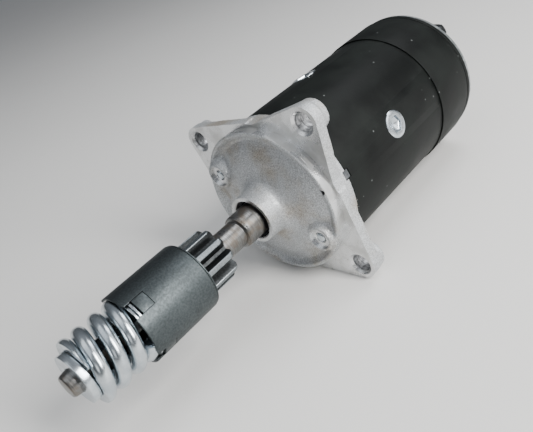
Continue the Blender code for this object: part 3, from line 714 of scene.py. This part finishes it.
def make_cover_band():
    """The band over the brush windows, with its two lugs, screw and square nut underneath."""
    front, rear = BAND_STATIONS
    inner = YOKE_R + 0.12
    band = lathe("cover_band", rounded([(front, inner), (front, BAND_R, 0.3),
                                        (rear, BAND_R, 0.3), (rear, inner)]), (PAINT,), 256)
    lugs = box("lugs", (141.0, 153.0), (53.6, 62.5), (-3.4, 3.4), BAND_GAP_ANGLE, (PAINT,))
    split = box("split", (120.0, 175.0), (45.0, 70.0), (-1.6, 1.6), BAND_GAP_ANGLE, (PAINT,))
    across = Matrix.Rotation(math.radians(BAND_GAP_ANGLE), 3, "X")

    def point(width):
        return across @ Vector((147.0, 58.6, width))

    hole = rod("hole", 2.2, point(-8), point(8), (PAINT,))
    piece(bevel(cut(join(band, lugs), split, hole), 0.25), "motor", "black_paint", ("cover_band",))

    steps = [(-6.0, 2.2), (-5.9, 3.2), (-5.5, 3.6), (-4.0, 3.6), (-3.7, 3.3), (-3.7, 1.9), (-2.0, 1.9)]
    steps += thread(-2.0, 0.2, 56, 0.8, 1.9, 0.16)
    steps.append((9.5, 1.3))
    screw = shaped("band_screw", steps, (ZINC,), 40)
    screw.data.transform(Matrix.Translation(point(0)) @ turn_to(point(1) - point(0)))
    slot = box("slot", (140.0, 154.0), (58.2, 59.0), (-7.0, -5.2), BAND_GAP_ANGLE, (ZINC,))
    piece(cut(screw, slot), "motor", "zinc_steel", ("band_screw",))
    nut = box("band_nut", (143.6, 150.4), (55.2, 62.0), (3.8, 6.6), BAND_GAP_ANGLE, (ZINC,))
    nut = cut(nut, rod("hole", 2.0, point(2), point(8), (ZINC,)))
    piece(bevel(nut), "motor", "zinc_steel", ("band_nut",))


make_cover_band()


# ---------------------------------------------------------------- commutator end

def hex_nut(apothem, cap):
    """Radius of a hexagon whose corners are cut by a cone of radius cap."""
    return lambda a: min(apothem / math.cos(math.radians(a % 60 - 30)), cap)


def make_rear():
    """The commutator end bracket with its cap, and the bolts that hold the motor together."""
    outline = rounded([
        (165.6, 8.9), (165.6, 13.5), (172.4, 14.5), (172.4, 45.4), (165.6, 45.4), (165.6, 48.2),
        (171.2, 48.2), (171.2, YOKE_R, 0.3), (175.6, YOKE_R, 1.0), (178.3, 52.4, 1.0),
        (REAR_FACE, YOKE_R - 2.3, 1.0), (REAR_FACE, 45.5, 0.8), (178.9, 44.6, 0.8), (178.9, 17.5, 1.0),
        (180.8, 15.0, 1.0), (183.2, 13.0, 0.4), (192.0, 13.0), (192.0, 8.9)])
    first = next(i for i, p in enumerate(outline) if p[0] > 173.5 and p[1] > 52.9)
    last = next(i for i, p in enumerate(outline) if p[0] > 179.3 and p[1] < 50.6)
    plate_piece = lathe("commutator_end_bracket", outline, (PAINT, RIM), 256,
                        paint=lambda i, j: 1 if first <= i < last else 0)
    tools = [shaped("bolt hole", [(160.0, 3.6), (185.0, 3.6)], (PAINT,), 32, at=(BOLT_R, a))
             for a in BOLT_ANGLES]
    tools.append(shaped("terminal hole", [(160.0, 7.3), (185.0, 7.3)], (PAINT,), 48,
                        at=(TERMINAL_R, TERMINAL_ANGLE)))
    piece(cut(plate_piece, *tools), "motor", "black_paint", ("commutator_end_bracket",))

    cap = lathe("end_cap", rounded([
        (192.4, 0.0), (192.4, 13.3), (183.0, 13.3, 0.1), (183.0, 14.6, 0.2), (192.3, 14.6, 1.2),
        (193.6, 12.9, 1.2), (193.6, 9.5, 0.5), (193.2, 8.8, 0.5), (193.2, 0.0)]), (ZINC,), 128)
    piece(cap, "motor", "zinc_steel", ("end_cap",))

    for number, angle in enumerate(BOLT_ANGLES, 1):
        steps = [(-10.1, 0.5), (-10.1, 2.2), (-9.9, 2.6), (-9.5, 3.0)]
        steps += thread(-9.3, 0.25, 30, 1.0, BOLT_THREAD_R + 0.02, 0.3)
        steps += [(-1.6, BOLT_THREAD_R), (179.8, BOLT_THREAD_R), (179.8, 6.4), (180.0, 6.9),
                  (180.9, 6.9), (181.1, 6.5), (181.1, hex_nut(5.0, 5.5)), (181.2, hex_nut(5.0, 5.8)),
                  (184.1, hex_nut(5.0, 5.8)), (184.6, hex_nut(5.0, 5.1)), (184.6, 3.0), (184.3, 2.7),
                  (184.3, 0.2)]
        bolt = shaped("through_bolt_%d" % number, steps, (ZINC,), 96, at=(BOLT_R, angle))
        piece(bolt, "motor", "zinc_steel", ("through_bolt_%d" % number,), 30.0)


def make_terminal():
    """The copper stud with its insulator, washer and two nuts."""
    at = (TERMINAL_R, TERMINAL_ANGLE)
    steps = [(165.4, 4.0), (184.2, 4.0)]
    steps += thread(184.4, 0.2, 78, 1.25, 3.98, 0.38)
    steps += [(199.9, 3.5), (200.5, 2.9), (200.5, 0.3)]
    stud = shaped("terminal_stud", steps, (COPPER,), 64, at=at)
    head = box("head", (160.0, 165.5), (TERMINAL_R - 6, TERMINAL_R + 6), (-6, 6), TERMINAL_ANGLE, (COPPER,))
    join(stud, head)
    piece(stud, "motor", "copper", ("terminal_stud",))

    def ring(name, outline, material, slot_name):
        ob = shaped(name, rounded(outline, 0.2), (material,), 96, close=True, at=at)
        piece(ob, "motor", slot_name, (name,))

    ring("terminal_insulator", [(165.5, 4.3), (165.5, 7.0), (179.8, 7.0), (179.8, 10.5), (182.4, 10.5, 0.6),
                                (182.8, 9.2, 0.4), (184.0, 9.0), (184.0, 4.3)], PHENOLIC, "insulation")
    ring("terminal_washer", [(184.3, 4.3), (184.3, 8.8), (185.7, 8.8), (185.7, 4.3)], ZINC, "zinc_steel")
    chamfer, full = hex_nut(6.0, 6.2), hex_nut(6.0, 6.9)
    for name, low, high, material, slot_name in (("terminal_nut", 188.6, 193.4, ZINC, "zinc_steel"),
                                                 ("terminal_lock_nut", 193.7, 197.6, DARK_AND_SHADED, "dark_steel")):
        section = [(low, 4.6), (low, chamfer), (low + 0.45, full), (high - 0.45, full), (high, chamfer),
                   (high, 4.6), (high - 0.5, 4.1), (low + 0.5, 4.1)]
        nut = shaped(name, section, (material,), 96, close=True, at=at)
        piece(nut, "motor", slot_name, (name,), 25.0)


make_rear()
make_terminal()


# ---------------------------------------------------------------- shaft

def spline_angles():
    """Angles of the shaft's grooves and of the sleeve's keys in them."""
    return [SPLINE_ANGLE + 360.0 * i / SPLINE_COUNT for i in range(SPLINE_COUNT)]


def pin_hole(material):
    """The drilling that the collar's pin sits in, from near the shaft's middle outwards."""
    ends = (polar(2.8, PIN_ANGLE, PIN_STATION), polar(20.0, PIN_ANGLE, PIN_STATION))
    return rod("pin hole", PIN_R, *ends, (material,))


def make_shaft():
    """The shaft, with a small shoulder and undercut where the journal meets the drive's stretch."""
    outline = rounded([
        (SHAFT_FRONT, 0.0), (SHAFT_FRONT, 6.1, 0.3), (-171.6, 6.8, 0.3), (-168.6, SPLINE_ROOT_R, 0.2),
        (-162.5, SPLINE_ROOT_R, 0.1), (-162.5, SHAFT_DRIVE_R, 0.3),
        (-41.4, SHAFT_DRIVE_R, 0.15), (-41.2, 8.7, 0.1), (-40.9, 9.4, 0.1), (-40.5, 10.6, 0.15),
        (-39.9, 10.9, 0.15), (-39.5, 10.7, 0.1), (-39.1, 10.7, 0.1), (-38.8, SHAFT_JOURNAL_R, 0.1),
        (6.0, SHAFT_JOURNAL_R), (7.0, 12.5), (20.0, 12.5), (20.5, 10.0), (159.0, 10.0), (160.5, 6.35),
        (190.0, 6.35), (190.8, 5.6), (190.8, 0.0)])
    shaft = lathe("armature_shaft", outline, (GROUND, DARK_AND_SHADED), 192)
    # The grooves and the pin hole are cut in the dark steel, as painted shade inside them.
    grooves = [box("groove", (-161.9, -84.0), (SPLINE_ROOT_R, 12.0), (-4.0, 4.0), a, (DARK_AND_SHADED,))
               for a in spline_angles()]
    hole = pin_hole(DARK_AND_SHADED)
    piece(cut(shaft, *grooves, hole), "armature", "bright_steel", ("armature_shaft",), 30.0)


make_shaft()


# ---------------------------------------------------------------- inertia drive

def tooth_points(tip, side):
    """One pinion tooth as (angle, radius) pairs. tip lowers its land and side thins its flank."""
    half = [(18.0, 12.4), (13.6, 12.45), (12.3, 12.9), (10.9, 13.8), (9.4, 15.0), (7.6, 16.2), (5.6, 17.2),
            (4.9, 17.5), (4.2, TOOTH_TIP_R), (1.4, TOOTH_TIP_R)]
    limit = TOOTH_TIP_R - tip
    points = [(-angle, min(radius, limit)) for angle, radius in half]
    for angle, radius in reversed(half):
        thin = side * max(0.0, radius - TOOTH_FLANK_R) / (TOOTH_TIP_R - TOOTH_FLANK_R)
        points.append((angle - math.degrees(thin / radius), min(radius, limit)))
    return points


def make_pinion():
    """Ten teeth, rounded off at their leading ends, and the hub that enters the barrel."""
    per_tooth = len(tooth_points(0, 0))
    stations = ((-82.7, 0.3, 0.0), (-82.4, 0.0, 0.0), (-63.6, 0.0, 0.0), (-62.4, 0.0, 0.5),
                (-61.2, 0.5, 1.3), (-60.5, 1.1, 1.7), (-60.1, 1.8, 2.0))
    centres = [TOOTH_ANGLE + 360.0 * tooth / TEETH for tooth in range(TEETH)]
    rows = []
    for station, tip, side in stations:
        rows.append([polar(radius, centre + angle, station)
                     for centre in centres for angle, radius in tooth_points(tip, side)])
    angles = [centre + angle for centre in centres for angle, _ in tooth_points(0, 0)]
    hub = ((-60.1, 10.2), (-61.0, PINION_BORE_R), (-88.0, PINION_BORE_R), (-88.3, PINION_BORE_R + 0.3),
           (-88.3, 15.1), (-88.0, 15.4), (-86.9, 15.4), (-86.6, 15.1), (-86.6, 12.2), (-83.3, 12.2))
    for station, radius in hub:
        rows.append([polar(radius, a, station) for a in angles])

    def paint(i, j):
        """The tooth tops are lighter, a painted highlight, and the flanks, roots and hub are dark, which
        paints shade between the teeth.
        """
        on_tooth = i < len(stations) - 1
        on_land = 6 <= j % per_tooth <= per_tooth - 8
        return 0 if on_tooth and on_land else 1

    pinion = skin("pinion", rows, (LAND, DARK_AND_SHADED), close=True, paint=paint)
    piece(pinion, "pinion", "dark_steel", ("pinion",), 24.0)


def make_barrel():
    """The slotted shell, with a ring groove at the pinion's end and a wider mouth for the spring."""
    outline = rounded([
        (-82.8, 12.6), (-82.8, 21.95, 0.3), (-83.7, 21.95, 0.15), (-83.7, 21.3, 0.05), (-84.15, 21.3, 0.05),
        (-84.15, BARREL_R, 0.45), (BARREL_FRONT, BARREL_R, 0.4), (BARREL_FRONT, BARREL_MOUTH_R),
        (-127.6, BARREL_MOUTH_R), (-127.6, 21.3), (-125.6, 21.3), (-125.6, BARREL_BORE_R),
        (-86.2, BARREL_BORE_R), (-86.2, 12.6)])
    shell = lathe("barrel", outline, (BARREL, EDGE), 192)
    # The slot walls take the dark steel: painted shade in the gaps round the lugs.
    slots = [box("slot", (-134.0, -117.2), (17.0, 25.0), (-SLOT_HALF, SLOT_HALF), a, (DARK_AND_SHADED,))
             for a in LUG_ANGLES]
    piece(bevel(cut(shell, *slots), 0.28, 34.0), "pinion", "dark_steel", ("barrel",), 30.0)


def make_control_nut():
    """The nut, whose square lugs fill the barrel's slots, and the ring that keeps it in."""
    front, rear = LUG_STATIONS
    nut = lathe("control_nut", rounded([(rear, 13.3), (rear, 19.7), (front, 19.7), (front, 13.3)]),
                (BARREL,), 144)
    lugs = [box("lug", LUG_STATIONS, (18.5, 22.6), (-4.65, 4.65), a, (BARREL,)) for a in LUG_ANGLES]
    nut = join(nut, *lugs)
    trim = lathe("trim", [(-140.0, 22.24), (-100.0, 22.24), (-100.0, 30.0), (-140.0, 30.0)], (BARREL,), 192)
    piece(bevel(cut(nut, trim), 0.22, 40.0), "pinion", "dark_steel", ("control_nut",), 30.0)

    section = rounded([(-125.9, 17.8), (-125.9, 20.9), (-127.3, 20.9), (-127.3, 17.8)], 0.25)
    ring = lathe("retaining_ring", section, (ZINC,), 144)
    gap = box("gap", (-130.0, -120.0), (10.0, 25.0), (-3.0, 3.0), 0.0, (ZINC,))
    piece(cut(ring, gap), "carriage", "bright_steel", ("retaining_ring",))


def make_sleeve():
    """The four-start screwed sleeve with its keys, and the washer between it and the main spring."""
    rear, front = SLEEVE_STATIONS
    rows = [(rear, SLEEVE_BORE_R), (rear, 17.3), (-89.2, 17.5), (-91.4, 17.5), (-91.6, 17.2),
            (-91.6, THREAD_R), (-92.4, 12.6)]
    rows += thread(-92.8, -0.6, 57, THREAD_PITCH, THREAD_R, THREAD_DEPTH, THREAD_STARTS)
    rows += [(-127.0, 12.6), (front, 12.4), (front, SLEEVE_BORE_R)]
    sleeve = shaped("screwed_sleeve", rows, (LAND,), 144, close=True)
    keys = [box("key", (front, -89.4), (7.7, 10.0), (-3.6, 3.6), a, (LAND,)) for a in spline_angles()]
    piece(join(sleeve, *keys), "sleeve", "dark_steel", ("screwed_sleeve",))
    section = rounded([(-127.6, SLEEVE_BORE_R), (-127.6, 19.6),
                       (-129.0, 19.6), (-129.0, SLEEVE_BORE_R)], 0.3)
    washer = lathe("buffer_washer", section, (ZINC,), 144)
    piece(washer, "sleeve", "bright_steel", ("buffer_washer",))


make_pinion()
make_barrel()
make_control_nut()
make_sleeve()


# ---------------------------------------------------------------- springs and collar

def coil(name, samples, wire, steps_round=28):
    """Sweep a round wire along (radius, angle, station) samples."""
    path = [polar(*sample) for sample in samples]
    turns = [2 * math.pi * k / steps_round for k in range(steps_round)]
    rows = []
    for i, point in enumerate(path):
        ahead = (path[min(i + 1, len(path) - 1)] - path[max(i - 1, 0)]).normalized()
        out = Vector((0, point.y, point.z)).normalized()
        side = ahead.cross(out).normalized()
        out = side.cross(ahead).normalized()
        rows.append([point + (out * math.cos(t) + side * math.sin(t)) * wire for t in turns])
    return skin(name, rows, (ZINC,))


def winding(stations, closed, working, per_turn):
    """(turn, station) pairs along a coil whose end turns rise by closed and the others by working."""
    start, stop = stations
    sign = 1 if stop > start else -1
    turns = 2.0 + (abs(stop - start) - 2 * closed) / working
    count = int(turns * per_turn)
    pairs = []
    for i in range(count + 1):
        turn = turns * i / count
        ends = min(turn, 1.0) + max(turn - (turns - 1.0), 0.0)
        pairs.append((turn, start + sign * (closed * ends + working * (turn - ends))))
    return pairs


def make_main_spring():
    """The heavy spring: its closed end turns overrun a little, and are then ground flat."""
    over = 2.0
    rear, front = SPRING_STATIONS
    samples = []
    for turn, station in winding((rear + over, front - over), closed=8.6, working=10.7, per_turn=72):
        angle = SPRING_START_ANGLE + 360.0 * turn
        across = polar(1.0, angle)
        lean = SPRING_LEAN[0] * across.y + SPRING_LEAN[1] * across.z
        samples.append((SPRING_R, angle, station + lean))
    spring = coil("main_spring", samples, SPRING_WIRE_R)
    grind = [shaped("grind", [(rear, 30.0), (rear + 20.0, 30.0)], (ZINC,), 48),
             shaped("grind", [(front - 20.0, 30.0), (front, 30.0)], (ZINC,), 48)]
    return bevel(cut(spring, *grind), 0.25, 40.0)


def make_light_spring():
    """The thin restraining spring inside the barrel."""
    turns = winding(LIGHT_SPRING_STATIONS, closed=1.4, working=7.2, per_turn=48)
    samples = [(LIGHT_SPRING_R, -360.0 * turn, station) for turn, station in turns]
    return coil("restraining_spring", samples, LIGHT_SPRING_WIRE_R, 12)


def make_collar():
    """The collar that holds the main spring, pinned to the shaft."""
    rear, front = COLLAR_STATIONS
    section = rounded([(rear, 7.6), (rear, COLLAR_R, 0.5), (front, COLLAR_R, 0.5), (front, 7.6, 0.4)])
    collar = lathe("shaft_collar", section, (ZINC,), 160)
    piece(cut(collar, pin_hole(ZINC)), "armature", "zinc_steel", ("shaft_collar",))


heavy = make_main_spring()
piece(heavy, "armature", "zinc_steel", ("main_spring",), 35.0)
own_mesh(heavy)
light = make_light_spring()
piece(light, "sleeve", "zinc_steel", ("restraining_spring",))
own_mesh(light)

make_collar()


# ---------------------------------------------------------------- parts kept from the CAD model

KEPT = {
    "drive_end_bush": DARK_AND_SHADED, "commutator_end_bush": BRONZE, "thrust_washer": BRONZE,
    "locating_dowel": LAMINATE, "armature_core": LAMINATE, "armature_winding": COPPER,
    "commutator": COPPER, "collar_pin": GROUND,
}
for index in range(1, 5):
    KEPT["pole_shoe_%d" % index] = LAMINATE
    KEPT["field_coil_%d" % index] = TAPE
    KEPT["brush_holder_%d" % index] = LAMINATE
    KEPT["brush_%d" % index] = CARBON
    KEPT["brush_spring_%d" % index] = GROUND
for node_name, node_material in KEPT.items():
    node = frame["nodes"][node_name]
    node.data.materials.clear()
    node.data.materials.append(node_material)


# ---------------------------------------------------------------- floor, light and camera

def make_floor():
    """A plain pale floor."""
    bm = bmesh.new()
    bmesh.ops.create_grid(bm, x_segments=2, y_segments=2, size=12.0)
    s = Shader("floor")
    s.colour(s.mix(s.noise(3.0, detail=4), (0.80, 0.79, 0.77), (0.84, 0.83, 0.81)))
    s.main.inputs["Roughness"].default_value = 0.7
    to_object("floor", bm, (s.material,))


def area_light(name, location, target, size, power, colour):
    """A soft box of size metres and power watts, aimed at target."""
    data = bpy.data.lights.new(name, "AREA")
    data.shape = "RECTANGLE"
    data.size, data.size_y = size
    data.energy = power
    data.color = colour
    ob = bpy.data.objects.new(name, data)
    bpy.context.scene.collection.objects.link(ob)
    ob.location = location
    ob.rotation_euler = (Vector(target) - Vector(location)).to_track_quat("-Z", "Y").to_euler()


def make_camera():
    """The viewpoint, close in front of the drive and above it, with the shaft running away to the right."""
    right = Vector((0.6192, -0.7251, -0.3014))
    up = Vector((0.5690, 0.1498, 0.8086))
    back = Vector((-0.5411, -0.6722, 0.5053))
    data = bpy.data.cameras.new("camera")
    data.sensor_width = 36.0
    data.lens = 39.2
    data.clip_end = 50.0
    ob = bpy.data.objects.new("camera", data)
    bpy.context.scene.collection.objects.link(ob)
    turn = Matrix((right, up, back)).transposed().to_4x4()
    ob.matrix_world = Matrix.Translation((-0.2324, -0.2557, 0.2401)) @ turn
    bpy.context.scene.camera = ob


make_floor()
middle = (0.0, 0.0, 0.05)
area_light("key", (0.10, -0.95, 0.74), middle, (0.30, 0.80), 21.5, (1.0, 0.99, 0.97))
area_light("sky", (-0.60, 0.10, 1.05), middle, (1.0, 1.0), 3.5, (0.94, 0.97, 1.0))
area_light("back", (0.66, -0.14, 1.05), middle, (0.5, 0.5), 5.0, (0.96, 0.98, 1.0))
area_light("window", (0.75, -0.95, 0.60), middle, (0.5, 1.0), 5.0, (1.0, 1.0, 1.0))
area_light("front", (-1.0, -0.75, 0.45), middle, (0.5, 0.4), 0.8, (1.0, 1.0, 1.0))


def make_world():
    """A soft grey room that is brighter overhead than at the horizon."""
    world = bpy.data.worlds.new("studio")
    world.use_nodes = True
    tree = world.node_tree
    split = tree.nodes.new("ShaderNodeSeparateXYZ")
    tree.links.new(tree.nodes.new("ShaderNodeTexCoord").outputs["Generated"], split.inputs[0])
    ramp = tree.nodes.new("ShaderNodeValToRGB")
    ramp.color_ramp.elements[0].position = 0.0
    ramp.color_ramp.elements[0].color = (0.20, 0.21, 0.22, 1.0)
    ramp.color_ramp.elements[1].position = 0.9
    ramp.color_ramp.elements[1].color = (0.62, 0.65, 0.70, 1.0)
    tree.links.new(split.outputs[2], ramp.inputs[0])
    tree.links.new(ramp.outputs[0], tree.nodes["Background"].inputs["Color"])
    tree.nodes["Background"].inputs["Strength"].default_value = 0.42
    bpy.context.scene.world = world


make_world()
make_camera()
